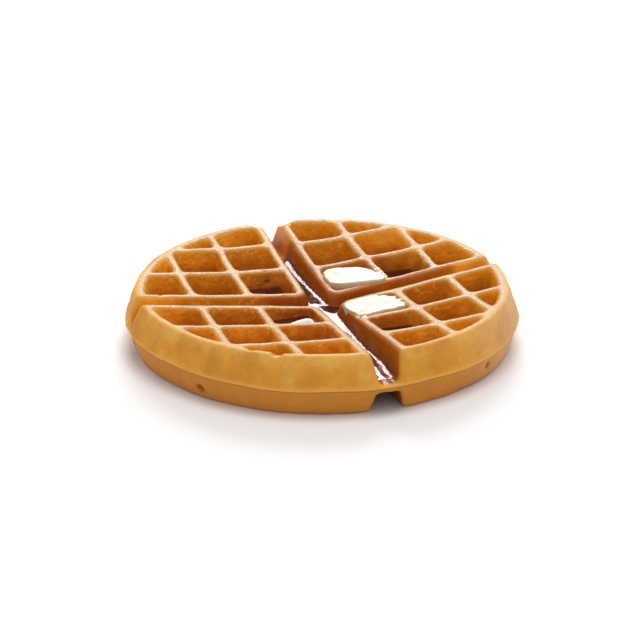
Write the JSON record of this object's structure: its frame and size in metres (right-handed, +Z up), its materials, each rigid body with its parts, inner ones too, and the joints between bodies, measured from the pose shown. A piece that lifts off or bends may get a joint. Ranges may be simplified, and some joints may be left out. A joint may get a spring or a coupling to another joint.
{
  "type": "waffle",
  "caption": "Round Belgian waffle with a deep grid of square pockets and crossing channels, with pats of butter on top and syrup pooled in it.",
  "frame": {"origin": "middle of the flat underside, on the surface the waffle rests on", "axes": "+Z up, -Y towards the front end of the channel that the syrup fills, X along the channel that crosses it"},
  "size_m": [0.18, 0.18, 0.0261],
  "materials": {
    "crust": "matte golden-brown baked crust, paler on the rib tops",
    "butter": "smooth, soft, slightly melted",
    "syrup": "clear dark red-brown, wet and very glossy"
  },
  "bodies": {
    "root": {"waffle": "crust", "butter_back": "butter", "butter_front": "butter", "syrup_channels": "syrup", "syrup_back_left": "syrup", "syrup_back_right": "syrup", "syrup_front_left": "syrup", "syrup_front_right": "syrup"}
  },
  "joints": []
}
